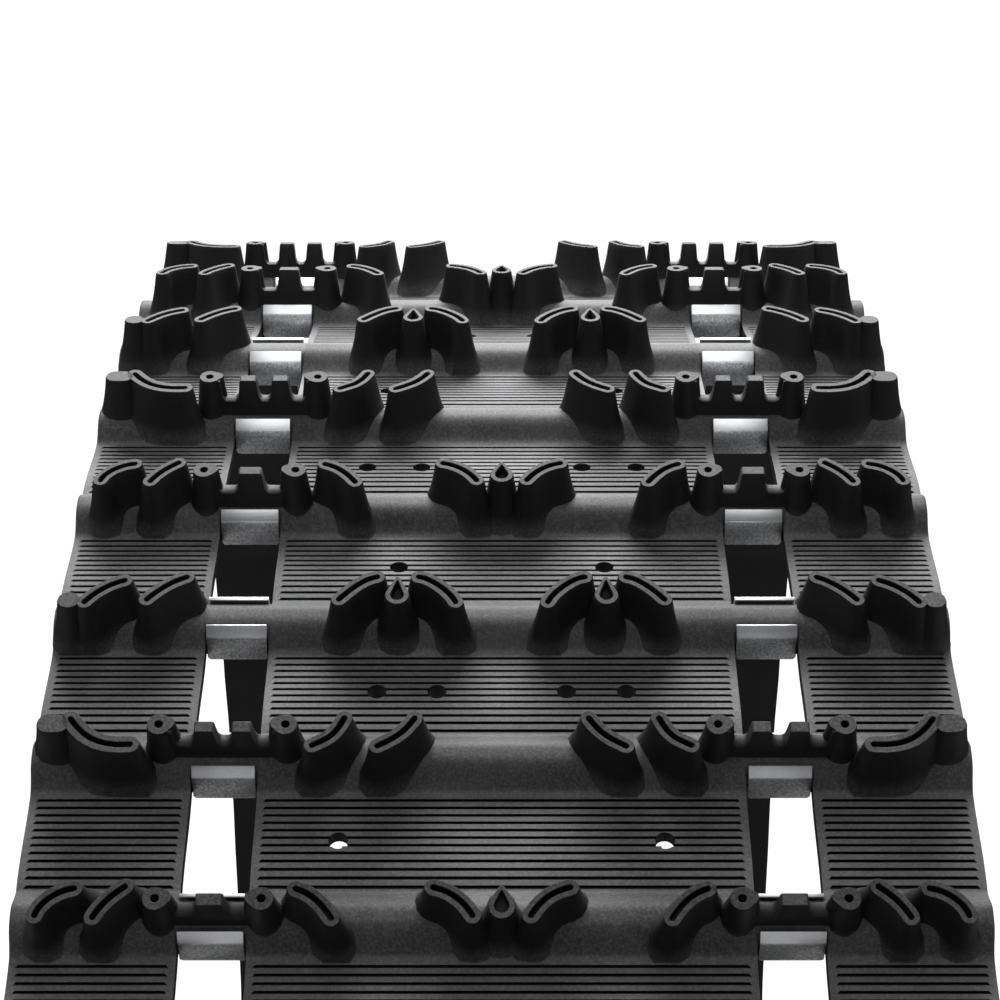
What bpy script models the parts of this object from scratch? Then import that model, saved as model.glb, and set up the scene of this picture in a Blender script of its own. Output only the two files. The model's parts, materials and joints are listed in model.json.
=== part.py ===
"""Endless rubber drive track with three belts, two window columns and a steel clip over every bar.

The loop stands on its lugs, peaked at the top, as it hangs from a short support. X runs across the track,
Y from front to back and Z up. The rubber is split in the flats into sections, hinged on the cord line.
"""

import math

import bmesh
import bpy
from mathutils import Matrix, Vector

MM = 0.001

# Overall sizes, in millimetres.
TRACK_WIDTH = 381.0
PITCH = 72.64
SECTION_LINKS = 4
SECTIONS_PER_SIDE = 5
LINKS_PER_SIDE = SECTION_LINKS * (SECTIONS_PER_SIDE + 1)

# Belts, in millimetres. Heights are measured out from the cord line.
BELT_THICKNESS = 6.0
CENTRE_BELT_WIDTH = 197.6
WINDOW_WIDTH = 27.0
HUMP_HEIGHT = 11.0
HUMP_BASE_LENGTH = 36.0
HUMP_TOP_LENGTH = 20.0

# Bars across the windows and traction lugs, in millimetres.
BAR_LENGTH = 8.0
BAR_HEIGHT = 10.6
COMB_HEIGHT = 18.6
LUG_HEIGHT = 29.6
LUG_BASE_LENGTH = 17.0
LUG_TIP_LENGTH = 13.0
LUG_DRAFT = 3.0
LUG_ROOT_DEPTH = 2.0
BAR_OVERLAP = 3.0
COMB_OVERLAP = 12.0

# Where the traction lugs stand: on the outer belts in millimetres from the window and from the edge,
# and on the centre belt as shares of half its width.
EDGE_LUG_FROM_WINDOW = {"arc": 15.0, "banana": 17.0, "trio": 5.0}
EDGE_LUG_FROM_EDGE = 4.0
CENTRE_LUGS = {
    "arc": ((0.63, 0.82), (0.086, 0.288)),
    "banana": ((0.324, 0.789),),
    "trio": ((0.167, 0.714),),
}

# Drive lugs inside the loop, in millimetres.
DRIVE_LUG_FROM_WINDOW = 8.0
DRIVE_LUG_WIDTH = 16.0
DRIVE_LUG_HEIGHT = 22.0
DRIVE_LUG_ROOT_LENGTH = 26.0
DRIVE_LUG_TIP_LENGTH = 12.0

# Cross rod and crimped clip, in millimetres.
ROD_LENGTH_ALONG_TRACK = 9.0
ROD_THICKNESS = 8.0
ROD_RISE = 3.0
CLIP_SIDE_GAP = 0.7
CLIP_SHEET = 1.6
CLIP_BASE_LENGTH = 24.0
CLIP_MOUTH_LENGTH = 12.8
CLIP_DEPTH = 5.0
CLEARANCE = 0.3
OPEN_PIVOT_GAP = 1.2

# Rest shape of the loop. Slopes are in degrees from the horizontal, counted down from the peak.
APEX_SLOPE = 19.5
CROWN_BEND = 6.53
CROWN_EASE = 0.055
CROWN_LINKS = 8
FLAT_LINKS = 2

# Most that one hinge turns either way, in degrees, which sets the chamfer of a section's ends.
FLEX = 16.0

RUBBER = ("track_rubber", (0.022, 0.022, 0.024, 1.0), 0.55, 0.0)
CLIP_STEEL = ("clip_steel", (0.55, 0.56, 0.57, 1.0), 0.3, 1.0)


def clear_scene():
    for obj in list(bpy.data.objects):
        bpy.data.objects.remove(obj, do_unlink=True)


def material(name, colour, roughness, metallic):
    made = bpy.data.materials.new(name)
    made.use_nodes = True
    shader = made.node_tree.nodes["Principled BSDF"]
    shader.inputs["Base Color"].default_value = colour
    shader.inputs["Roughness"].default_value = roughness
    shader.inputs["Metallic"].default_value = metallic
    return made


# The rest shape.


def crown_angle(link):
    """Direction of a link near the peak: 0 points forward along the floor, 180 points back at the peak."""
    down = LINKS_PER_SIDE - 1 - link
    return 180.0 - (APEX_SLOPE + CROWN_BEND * down - CROWN_EASE * down * down)


def front_angles(power):
    """Directions of the front links, from the floor up: flat, then a curve of this power, then the crown."""
    first_crown = LINKS_PER_SIDE - CROWN_LINKS
    top = crown_angle(first_crown)
    angles = [0.0] * FLAT_LINKS
    for link in range(FLAT_LINKS, first_crown):
        share = (link - FLAT_LINKS + 1) / (first_crown - FLAT_LINKS + 1)
        angles.append(top * share**power)
    return angles + [crown_angle(link) for link in range(first_crown, LINKS_PER_SIDE)]


def closing_power():
    """The power at which the front half ends right above where it starts, so that the two halves meet."""
    low, high = 0.3, 1.5
    for _ in range(60):
        middle = (low + high) / 2
        reach = sum(math.cos(math.radians(angle)) for angle in front_angles(middle))
        if reach > 0:
            high = middle
        else:
            low = middle
    return (low + high) / 2


def link_frames():
    """A frame for each link, with X across, Y along the loop, Z outwards, at the bar on the cord line."""
    front = front_angles(closing_power())
    angles = front + [360.0 - angle for angle in reversed(front)]
    lowest = LUG_HEIGHT * MM
    joint = Vector((0.0, 0.0, lowest))
    frames = []
    for angle in angles:
        turn = math.radians(angle)
        along = Vector((0.0, -math.cos(turn), math.sin(turn)))
        out = Vector((0.0, -math.sin(turn), -math.cos(turn)))
        centre = joint + along * (PITCH * MM / 2)
        frame = Matrix.Identity(4)
        for column, axis in enumerate((Vector((1.0, 0.0, 0.0)), along, out, centre)):
            frame.col[column][:3] = axis
        frames.append(frame)
        joint = joint + along * (PITCH * MM)
    return frames


def bend_between(frames, link):
    """Angle between a link and the one before it, round the closed loop, in radians."""
    return frames[link - 1].col[2].to_3d().angle(frames[link].col[2].to_3d())


def hinge_point(frames, zone):
    """The point on the cord line before this link."""
    return frames[zone] @ Vector((0.0, -PITCH * MM / 2, 0.0))


# Building blocks, in a link's frame and in millimetres.


def to_world(frame, across, along, out):
    return frame @ Vector((across * MM, along * MM, out * MM))


def add_prism(mesh, rings):
    """A closed solid whose sides join two rings of the same number of points, each ring a flat end."""
    first, last = ([mesh.verts.new(point) for point in ring] for ring in rings)
    mesh.faces.new(first)
    mesh.faces.new(reversed(last))
    for i, corner in enumerate(first):
        after = (i + 1) % len(first)
        mesh.faces.new((corner, last[i], last[after], first[after]))


def object_from(name, rings_list):
    """One mesh object that holds a prism for each pair of rings."""
    mesh = bmesh.new()
    for rings in rings_list:
        add_prism(mesh, rings)
    bmesh.ops.recalc_face_normals(mesh, faces=mesh.faces)
    data = bpy.data.meshes.new(name)
    mesh.to_mesh(data)
    mesh.free()
    made = bpy.data.objects.new(name, data)
    bpy.context.scene.collection.objects.link(made)
    return made


def extruded(frame, outline, start, end):
    """Rings of an outline of (along, out) points, carried across the track from start to end."""
    return [[to_world(frame, across, along, out) for along, out in outline] for across in (start, end)]


def block(frame, centre, widths, lengths, heights):
    """Rings of a block that tapers from its root to its tip, centred across at the given place."""
    rings = []
    for width, length, height in zip(widths, lengths, heights):
        corners = ((-1, -1), (1, -1), (1, 1), (-1, 1))
        rings.append(
            [to_world(frame, centre + x * width / 2, y * length / 2, height) for x, y in corners]
        )
    return rings


# Belts.


def end_outline(frames, zone, sign):
    """Points of a section's end, V-shaped so that it can turn on the cord line, from outside to inside."""
    bend = bend_between(frames, zone)
    gap = OPEN_PIVOT_GAP if zone == LINKS_PER_SIDE else CLEARANCE
    chamfer = BELT_THICKNESS / 2 * math.tan(math.radians(FLEX / 2))
    points = []
    for height in (BELT_THICKNESS / 2, 0.0, -BELT_THICKNESS / 2):
        reach = PITCH / 2 - gap / 2 + height * math.tan(bend / 2)
        if height:
            reach -= chamfer
        points.append((sign * reach, height))
    return points


def mitre(frames, link, height):
    """The point where two neighbouring links' surfaces meet at this height, in the later link's frame."""
    slope = math.tan(bend_between(frames, link) / 2)
    return to_world(frames[link], 0.0, -PITCH / 2 - height * slope, height)


def belt_outline(frames, links):
    """Side view of a belt over these links, as points on the plane across = 0."""
    half_base = HUMP_BASE_LENGTH / 2
    half_top = HUMP_TOP_LENGTH / 2
    half_belt = BELT_THICKNESS / 2
    first, last = links[0], links[-1]
    start = end_outline(frames, first, -1)
    end = end_outline(frames, (last + 1) % len(frames), 1)
    outer = []
    for link in links:
        if link != first:
            outer.append(mitre(frames, link, half_belt))
        front = [(-half_base, half_belt), (-half_top, HUMP_HEIGHT)]
        hump = front + [(-along, out) for along, out in reversed(front)]
        outer += [to_world(frames[link], 0.0, along, out) for along, out in hump]
    inner = [mitre(frames, link, -half_belt) for link in reversed(links[1:])]
    opening = [to_world(frames[first], 0.0, along, out) for along, out in start]
    closing = [to_world(frames[last], 0.0, along, out) for along, out in end]
    return outer + closing + inner + list(reversed(opening))


def shifted(points, across):
    return [point + Vector((across * MM, 0.0, 0.0)) for point in points]


def belt_spans():
    """Start and end across the track of each of the three belts."""
    centre = CENTRE_BELT_WIDTH / 2
    outer = centre + WINDOW_WIDTH
    edge = TRACK_WIDTH / 2
    return [(-edge, -outer), (-centre, centre), (outer, edge)]


def rod_outline(margin):
    half = ROD_LENGTH_ALONG_TRACK / 2 + margin
    low = ROD_RISE - ROD_THICKNESS / 2 - margin
    high = ROD_RISE + ROD_THICKNESS / 2 + margin
    return [(-half, low), (half, low), (half, high), (-half, high)]


def belts(frames, links):
    """The three belts of a section, each bored for the rods."""
    outline = belt_outline(frames, links)
    made = object_from("belts", [[shifted(outline, a), shifted(outline, b)] for a, b in belt_spans()])
    bores = object_from(
        "bores",
        [extruded(frames[k], rod_outline(CLEARANCE), -TRACK_WIDTH, TRACK_WIDTH) for k in links],
    )
    return boolean(made, bores, "DIFFERENCE")


# Bars, lugs and drive lugs.


def window_centre():
    return (CENTRE_BELT_WIDTH + WINDOW_WIDTH) / 2


def bar_underside():
    """Height of a bar's underside, which stays above the ceiling of the rod's bore."""
    return ROD_RISE + ROD_THICKNESS / 2 + 2 * CLEARANCE


def bar_rings(frame, side, height, reach):
    """A bar over one window, standing to this height and reaching this far past the window's edges."""
    half = WINDOW_WIDTH / 2 + reach
    low = bar_underside()
    outline = [
        (-BAR_LENGTH / 2, low),
        (BAR_LENGTH / 2, low),
        (BAR_LENGTH / 2, height),
        (-BAR_LENGTH / 2, height),
    ]
    centre = side * window_centre()
    return extruded(frame, outline, centre - half, centre + half)


def lug_spans(kind):
    """Inner and outer reach of each traction lug on one side, for a bar of this kind."""
    centre_edge = CENTRE_BELT_WIDTH / 2
    window_edge = centre_edge + WINDOW_WIDTH
    spans = [(window_edge + EDGE_LUG_FROM_WINDOW[kind], TRACK_WIDTH / 2 - EDGE_LUG_FROM_EDGE)]
    for inner, outer in CENTRE_LUGS[kind]:
        spans.append((inner * centre_edge, outer * centre_edge))
    return spans


def lug_rings(frame, kind):
    rings = []
    for side in (-1, 1):
        for inner, outer in lug_spans(kind):
            widths = (outer - inner, outer - inner - LUG_DRAFT)
            lengths = (LUG_BASE_LENGTH, LUG_TIP_LENGTH)
            heights = (HUMP_HEIGHT - LUG_ROOT_DEPTH, LUG_HEIGHT)
            rings.append(block(frame, side * (inner + outer) / 2, widths, lengths, heights))
    return rings


def drive_lug_root():
    """Height inside the belt where a drive lug starts, which stays below the floor of the rod's bore."""
    return ROD_RISE - ROD_THICKNESS / 2 - 2 * CLEARANCE


def drive_lug_rings(frame, side):
    widths = (DRIVE_LUG_WIDTH, DRIVE_LUG_WIDTH - LUG_DRAFT)
    lengths = (DRIVE_LUG_ROOT_LENGTH, DRIVE_LUG_TIP_LENGTH)
    heights = (drive_lug_root(), -BELT_THICKNESS / 2 - DRIVE_LUG_HEIGHT)
    centre = CENTRE_BELT_WIDTH / 2 - DRIVE_LUG_FROM_WINDOW - DRIVE_LUG_WIDTH / 2
    return block(frame, side * centre, widths, lengths, heights)


def bar_kind(link):
    """The three kinds of bar follow each other round the loop."""
    return ("trio", "arc", "banana")[link % 3]


def bar_parts(frames, link):
    """Everything that one bar adds to the belts, as separate rings."""
    frame = frames[link]
    kind = bar_kind(link)
    rings = lug_rings(frame, kind)
    for side in (-1, 1):
        if kind == "trio":
            rings.append(bar_rings(frame, side, BAR_HEIGHT, BAR_OVERLAP))
        else:
            rings.append(bar_rings(frame, side, COMB_HEIGHT, COMB_OVERLAP))
        rings.append(drive_lug_rings(frame, side))
    return rings


def boolean(base, tool, operation):
    """Applies an exact Boolean, removes the tool and returns the base."""
    modifier = base.modifiers.new("join", "BOOLEAN")
    modifier.operation = operation
    modifier.solver = "EXACT"
    modifier.object = tool
    graph = bpy.context.evaluated_depsgraph_get()
    result = bpy.data.meshes.new_from_object(base.evaluated_get(graph))
    base.modifiers.clear()
    base.data = result
    bpy.data.objects.remove(tool, do_unlink=True)
    return base


def rubber_section(name, frames, links, finish):
    made = belts(frames, links)
    for link in links:
        for rings in bar_parts(frames, link):
            made = boolean(made, object_from("piece", [rings]), "UNION")
    made.name = name
    made.data.name = name
    made.data.materials.clear()
    made.data.materials.append(finish)
    return made


# Cross rods with their clips.


def clip_width():
    """A clip fills its window, but for a gap on each side."""
    return WINDOW_WIDTH - 2 * CLIP_SIDE_GAP


def clip_outline():
    """Side view of a clip: two legs that lean in over the bar, on a base that reaches up to the rod."""
    base, mouth = CLIP_BASE_LENGTH / 2, CLIP_MOUTH_LENGTH / 2
    top = BAR_HEIGHT
    seat = ROD_RISE + ROD_THICKNESS / 2 - CLIP_SHEET
    lean = (base - mouth) / (top + CLIP_DEPTH)
    inside_top = mouth - CLIP_SHEET
    inside_seat = inside_top + lean * (top - seat)
    right = [(base, -CLIP_DEPTH), (mouth, top), (inside_top, top), (inside_seat, seat)]
    left = [(-along, out) for along, out in reversed(right)]
    return right + left


def crossbar(name, frame, finish):
    """A rod across the whole track with a clip crimped round it in each window column."""
    rod = extruded(frame, rod_outline(0.0), -TRACK_WIDTH / 2, TRACK_WIDTH / 2)
    made = object_from(name, [rod])
    for side in (-1, 1):
        centre = side * window_centre()
        rings = extruded(frame, clip_outline(), centre - clip_width() / 2, centre + clip_width() / 2)
        made = boolean(made, object_from("clip", [rings]), "UNION")
    made.data.name = name
    made.data.materials.clear()
    made.data.materials.append(finish)
    return made


# Assembly.


def section_plan():
    """Name, links and hinge zone of each section, the base first and each later one after its parent."""
    count = 2 * LINKS_PER_SIDE
    base = [link % count for link in range(-SECTION_LINKS, SECTION_LINKS)]
    plan = [("belt_section_base", base, None, None)]
    for side in ("front", "rear"):
        parent = plan[0][0]
        for step in range(1, SECTIONS_PER_SIDE + 1):
            start = step * SECTION_LINKS
            links = list(range(start, start + SECTION_LINKS))
            zone = start
            if side == "rear":
                links = [count - 1 - link for link in reversed(links)]
                zone = count - start
            name = f"belt_section_{side}_{step}"
            plan.append((name, links, zone, parent))
            parent = name
    return plan


def hang_on(obj, pivot):
    """Parents a piece modelled in place to its pivot, with its origin moved there."""
    shift = pivot.matrix_world.translation
    obj.data.transform(Matrix.Translation(-shift))
    obj.parent = pivot


def main():
    clear_scene()
    rubber = material(*RUBBER)
    steel = material(*CLIP_STEEL)
    frames = link_frames()
    pivots = {}
    for name, links, zone, parent in section_plan():
        pivot = bpy.data.objects.new(name.replace("belt_section", "pivot"), None)
        bpy.context.scene.collection.objects.link(pivot)
        place = Vector((0.0, 0.0, 0.0)) if zone is None else hinge_point(frames, zone)
        if parent:
            pivot.parent = pivots[parent]
            place = place - pivots[parent].matrix_world.translation
        pivot.location = place
        bpy.context.view_layer.update()
        pivots[name] = pivot
        hang_on(rubber_section(name, frames, links, rubber), pivot)
        for link in links:
            hang_on(crossbar(f"cross_rod_with_clips_{link + 1:02d}", frames[link], steel), pivot)


main()
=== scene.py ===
"""Looks of an endless rubber drive track: moulded bars and lugs, ribbed flats, steel clips and cross rods.

A link's own frame has X across the track, Y along the loop and Z outwards from the cord line. Its shapes
are in millimetres.
"""

import json
import math

import bmesh
import bpy
import numpy as np
from bpy.props import FloatProperty, FloatVectorProperty, IntProperty, PointerProperty
from mathutils import Matrix, Vector

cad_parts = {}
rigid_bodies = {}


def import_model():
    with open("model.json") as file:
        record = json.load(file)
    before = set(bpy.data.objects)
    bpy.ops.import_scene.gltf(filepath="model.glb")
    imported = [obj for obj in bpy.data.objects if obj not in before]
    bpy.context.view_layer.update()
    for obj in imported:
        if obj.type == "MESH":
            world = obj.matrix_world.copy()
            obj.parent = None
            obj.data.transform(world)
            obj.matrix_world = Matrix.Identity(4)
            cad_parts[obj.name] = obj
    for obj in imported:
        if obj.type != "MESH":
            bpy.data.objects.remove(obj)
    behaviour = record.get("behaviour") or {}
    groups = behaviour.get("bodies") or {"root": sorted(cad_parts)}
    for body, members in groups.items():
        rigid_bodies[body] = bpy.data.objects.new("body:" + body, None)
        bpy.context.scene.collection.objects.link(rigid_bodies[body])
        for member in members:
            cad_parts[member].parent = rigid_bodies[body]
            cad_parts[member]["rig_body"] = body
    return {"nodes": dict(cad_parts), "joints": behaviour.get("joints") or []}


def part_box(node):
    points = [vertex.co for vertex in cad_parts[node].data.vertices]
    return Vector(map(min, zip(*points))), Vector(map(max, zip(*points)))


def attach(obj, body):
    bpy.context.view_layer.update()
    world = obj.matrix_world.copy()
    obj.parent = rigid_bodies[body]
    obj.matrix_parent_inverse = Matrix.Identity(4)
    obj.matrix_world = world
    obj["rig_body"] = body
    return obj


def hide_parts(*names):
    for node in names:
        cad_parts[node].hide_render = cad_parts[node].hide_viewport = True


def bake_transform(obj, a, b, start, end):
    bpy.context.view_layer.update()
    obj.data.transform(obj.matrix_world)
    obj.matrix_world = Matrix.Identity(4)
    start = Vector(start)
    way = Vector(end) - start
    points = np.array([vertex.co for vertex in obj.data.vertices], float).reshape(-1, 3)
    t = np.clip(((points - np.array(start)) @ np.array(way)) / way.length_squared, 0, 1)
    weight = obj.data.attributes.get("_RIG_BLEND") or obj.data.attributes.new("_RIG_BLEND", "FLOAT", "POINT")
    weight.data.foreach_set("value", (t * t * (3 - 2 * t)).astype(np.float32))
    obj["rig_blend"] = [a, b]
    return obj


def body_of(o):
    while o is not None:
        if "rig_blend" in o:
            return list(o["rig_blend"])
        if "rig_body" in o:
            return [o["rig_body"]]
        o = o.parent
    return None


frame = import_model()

bl_info = {
    "name": "Rubber Drive Track",
    "version": (1, 0, 0),
    "blender": (4, 5, 0),
    "location": "3D View > Sidebar > Track",
    "description": "Builds the moulded rubber, steel clips and cross rods of an endless drive track",
    "category": "Object",
}

MM = 0.001
LINKS = sum(name.startswith("cross_rod_with_clips") for name in frame["nodes"])
KINDS = ("trio", "arc", "banana")

# Belts, in millimetres from the middle of the track.
EDGE = 190.3
OUTER_BELT = 125.8
CENTRE_BELT = 98.8
BELTS = ((-EDGE, -OUTER_BELT), (-CENTRE_BELT, CENTRE_BELT), (OUTER_BELT, EDGE))
WINDOW_MIDDLE = (OUTER_BELT + CENTRE_BELT) / 2

# Sides of a lug from the root up, as (height, how far it stands out from the tip's own edge).
SKIRT = (
    (1.0, 8.4),
    (3.0, 7.2),
    (5.5, 6.1),
    (8.0, 5.0),
    (11.0, 3.9),
    (14.5, 2.9),
    (18.5, 2.0),
    (23.0, 1.2),
    (27.0, 0.6),
    (29.1, 0.25),
)

# Centre lines of the slit lugs on one side, as (across, along) from the edge inwards.
EDGE_PAIR = (
    ((176.9, -5.4), (174.4, -0.8), (169.4, 3.2), (162.9, 5.4)),
    ((154.9, -6.1), (151.9, -1.5), (148.1, 2.5), (143.5, 6.1)),
)
EDGE_SWEEP = (((172.3, 5.9), (168.6, 1.3), (163.7, -2.6), (157.1, -5.2), (147.6, -5.6)),)
EDGE_SLANTS = (
    ((174.2, -7.1), (169.5, -1.9), (164.2, 2.0), (158.5, 4.5)),
    ((148.3, -5.8), (143.2, -0.5), (137.8, 3.6), (132.5, 6.2)),
)
CENTRE_ARCS = (
    ((78.4, 5.2), (72.8, 2.5), (68.4, -1.5), (64.6, -6.5)),
    ((26.1, 5.8), (19.4, 3.2), (14.5, -0.8), (11.1, -5.4)),
)
CENTRE_HOOKS = (
    ((75.3, -6.1), (70.5, -3.5), (66.7, -0.3), (62.9, 6.3)),
    ((49.4, -6.4), (43.8, -3.2), (39.2, 0.5), (34.8, 6.3)),
)
CENTRE_WINGS = (
    ((68.0, -5.8), (62.9, -0.2), (57.7, 4.1), (52.4, 6.3)),
    ((34.9, 6.3), (29.5, 4.1), (23.4, -1.1), (19.3, -7.1)),
)

# Tips of the lugs: half widths, and holes as (half width or growth, depth under the tip). A boss may
# stand over the window above its free height.
SLIT_TIP = 3.2
SWEEP_TIP = 3.6
SLIT = ((1.4, 0.0), (1.15, 0.3), (1.05, 6.5))
BOSS_RADIUS = 4.6
BOSS_NOSE_RADIUS = 2.6
BOSS_NOSE_REACH = 3.6
BOSS_NOSE_SHIFT = 0.6
BOSS_SKIRT_SHARE = 0.7
BOSS_HOLE = ((1.9, 0.0), (1.65, 0.3), (1.5, 12.0))
BOSS_FREE_HEIGHT = 14.0
TEARDROP_POINT = 0.9
TEARDROP_HOLE = ((0.2, 0.0), (0.0, 0.3), (-0.1, 4.5))
TEARDROP_HOLE_POINT = 0.35
TEARDROP_HOLE_SHIFT = 0.2
TEARDROP_HOLE_TO_POINT = 2.3
TAB_FROM_EDGE = 4.8

# Combs over the windows: the gaps' floor, the wall's half thickness and its flare at the root.
COMB_FLOOR = 18.6
COMB_LEVELS = (4.0, 8.0, 11.0, 14.5)
COMB_HALF = 2.6
COMB_TOP_HALF = 2.2
COMB_DRAFT = 0.9
COMB_FLARE_HEIGHT = 12.0
COMB_FLARE = 0.35
COMB_SHOULDER = 0.7
COMB_BOSS_REACH = 1.6

# Foot of a comb's gap beside a tooth and beside a boss, as (distance, height above the gap's floor).
TOOTH_FOOT = ((0.9, 2.4), (1.6, 0.7), (2.6, 0.0))
BOSS_FOOT = ((0.8, 2.4), (1.6, 0.7), (2.6, 0.0))

# A bar on a belt: half of its crest, and its ends as (distance from the belt's end, how much lower).
CREST_HALF = 1.6
HUMP_ENDS = ((0.0, 1.2), (0.35, 0.5), (1.2, 0.0))
HUMP_END_RISE = 4.0
BAR_MARGIN = 0.5

# Side view of the rubber over a window, from front to back, as (along, out).
WINDOW_BAR = (
    (-9.4, -3.2),
    (-8.6, 2.0),
    (-6.2, 7.4),
    (-4.8, 9.4),
    (-2.8, 10.5),
    (0.0, 10.9),
    (3.4, 10.9),
    (6.0, 10.5),
    (7.8, 9.4),
    (8.6, 7.4),
    (9.2, 2.0),
    (9.6, -3.2),
)
WINDOW_BAR_OVERLAP = 1.0

# A drive lug from its root inwards, as (height, half length, half width).
DRIVE_LUG = (
    (-1.0, 15.0, 9.6),
    (-3.0, 13.2, 8.3),
    (-5.0, 11.4, 7.6),
    (-10.0, 9.3, 7.2),
    (-16.0, 7.4, 6.9),
    (-22.0, 6.2, 6.5),
    (-24.4, 5.6, 6.1),
    (-25.0, 4.8, 5.3),
)
DRIVE_LUG_FROM_WINDOW = 16.0

# Flats: plain strips at both feet, slant of a groove's ends, and stud holes from the track's middle.
GROOVES_FROM_FRONT = 1.2
GROOVES_FROM_BACK = 2.1
GROOVE_SLANT = 1.1
GROOVE_MARGIN = 0.2
STUD_HOLES = ((27.0, 52.0), (45.0,), (37.0, 62.0), (55.0,), (17.0, 42.0), (65.0,))
STUD_MARGIN = 8.0
OPEN_PIVOT_HALF_GAP = 0.6

# Middle of a clip's sheet in side view, as (along, out, how much narrower than the clip).
CLIP_SHEET_LINE = (
    (-4.9, 11.3, 0.0),
    (-8.3, 7.7, 0.0),
    (-11.2, -2.2, 0.0),
    (-11.1, -3.5, 0.9),
    (-10.1, -4.2, 1.3),
    (10.1, -4.2, 1.3),
    (11.1, -3.5, 0.9),
    (11.2, -2.2, 0.0),
    (10.4, 5.0, 0.0),
    (9.3, 11.3, 0.0),
)
CLIP_ROUNDING = 0.3

# A rod's half section, and its ends as (how far past the edge of the belt, how much thinner).
ROD_HALF_LENGTH = 4.3
ROD_HALF_HEIGHT = 3.8
ROD_ENDS = ((0.15, 0.5), (-0.3, 0.0))

# Lamps, as (name, place, aim, size, share of the overhead's power), in metres.
LAMPS = (
    ("overhead", (0.0, 0.25, 2.75), (0.0, 0.0, 1.0), (1.6, 1.3), 1.0),
    ("behind", (0.0, 2.6, 2.3), (0.0, 0.0, 1.1), (2.4, 1.2), 0.26),
    ("left", (-2.4, -0.6, 1.9), (0.0, 0.0, 0.9), (0.5, 1.6), 0.07),
    ("right", (2.4, -0.6, 1.9), (0.0, 0.0, 0.9), (0.5, 1.6), 0.07),
    ("low_front", (0.0, -2.7, 0.05), (0.0, -2.7, 1.0), (1.4, 2.4), 0.015),
    ("high_front", (0.0, -2.9, 3.1), (0.0, -0.3, 1.1), (2.6, 3.2), 0.36),
)

# The cove: half its width, how far it reaches, and its wall's curve and height, in metres.
COVE_HALF_WIDTH = 20.0
COVE_FRONT = -14.0
COVE_BACK = 3.5
COVE_CURVE = 1.5
COVE_HEIGHT = 12.0
COVE_GLOW = 1.12
COVE_FLOOR_SHARE = 0.8

# The world's light, and the camera's place from the loop's top bar, in metres, and its turn, in degrees.
WORLD_LIGHT = 0.07
CAMERA_FROM_TOP = (0.0, -1.3405, -0.279)
CAMERA_TURN = (97.0, 0.0, 0.04)


# Links, read from the frame.


def clear_startup_scene():
    """The startup scene's own cube, lamp and camera."""
    for name in ("Cube", "Light", "Camera"):
        found = bpy.data.objects.get(name)
        if found:
            bpy.data.objects.remove(found, do_unlink=True)


def rod_node(link):
    return f"cross_rod_with_clips_{link + 1:02d}"


def loop_middle():
    """A point inside the loop."""
    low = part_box("belt_section_base")[0]
    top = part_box(rod_node(LINKS // 2))[1]
    return Vector((0.0, 0.0, (low.z + top.z) / 2))


def link_frame(link, middle):
    """The frame of one link on the cord line, from the ends of its cross rod."""
    points = [vertex.co for vertex in frame["nodes"][rod_node(link)].data.vertices]
    edge = max(point.x for point in points)
    corners = {tuple(round(value, 6) for value in point) for point in points if edge - point.x < 1e-5}
    rod = sum((Vector(corner) for corner in corners), Vector()) / len(corners)
    out = sum((Vector(point) for point in points), Vector()) / len(points) - rod
    out.x = 0.0
    out.normalize()
    if out.dot(rod - middle) < 0:
        out.negate()
    across = Vector((1.0, 0.0, 0.0))
    placed = Matrix.Identity(4)
    rod.x = 0.0
    columns = (across, out.cross(across), out, rod - out * sizes().rod_rise)
    for column, axis in enumerate(columns):
        placed.col[column][:3] = axis
    return placed


def link_frames():
    middle = loop_middle()
    return [link_frame(link, middle) for link in range(LINKS)]


def body_of_link(link):
    return body_of(frame["nodes"][rod_node(link)])[0]


def bodies():
    """Each body with its links, in the order of the loop."""
    found = {}
    for link in range(LINKS):
        found.setdefault(body_of_link(link), []).append(link)
    return found


# Sizes and finishes that a user would change.


class TrackSizes(bpy.types.PropertyGroup):
    """Sizes of the moulded shapes."""

    lug_height: FloatProperty(
        name="Lug height", description="Tip of a lug above the cord line", default=0.0296, unit="LENGTH"
    )
    crest_height: FloatProperty(
        name="Crest height", description="Crest of a bar above the cord line", default=0.011, unit="LENGTH"
    )
    half_belt: FloatProperty(
        name="Half belt", description="Half of a belt's thickness", default=0.003, unit="LENGTH"
    )
    half_bar: FloatProperty(
        name="Half bar", description="Half of a bar's length at its foot", default=0.0145, unit="LENGTH"
    )
    groove_width: FloatProperty(
        name="Groove width", description="Width of one groove in a flat", default=0.0014, unit="LENGTH"
    )
    groove_depth: FloatProperty(
        name="Groove depth", description="Depth of one groove in a flat", default=0.0018, unit="LENGTH"
    )
    grooves: IntProperty(name="Grooves", description="Grooves in each flat", default=12, min=1)
    groove_border: FloatProperty(
        name="Groove border", description="Plain border beside the grooves", default=0.0037, unit="LENGTH"
    )
    stud_hole: FloatProperty(
        name="Stud hole", description="Radius of a stud hole", default=0.004, unit="LENGTH"
    )
    clip_width: FloatProperty(
        name="Clip width", description="Width of a clip", default=0.0256, unit="LENGTH"
    )
    clip_sheet: FloatProperty(
        name="Clip sheet", description="Thickness of a clip's sheet", default=0.0016, unit="LENGTH"
    )
    rod_rise: FloatProperty(
        name="Rod rise", description="Middle of a rod above the cord line", default=0.003, unit="LENGTH"
    )


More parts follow.
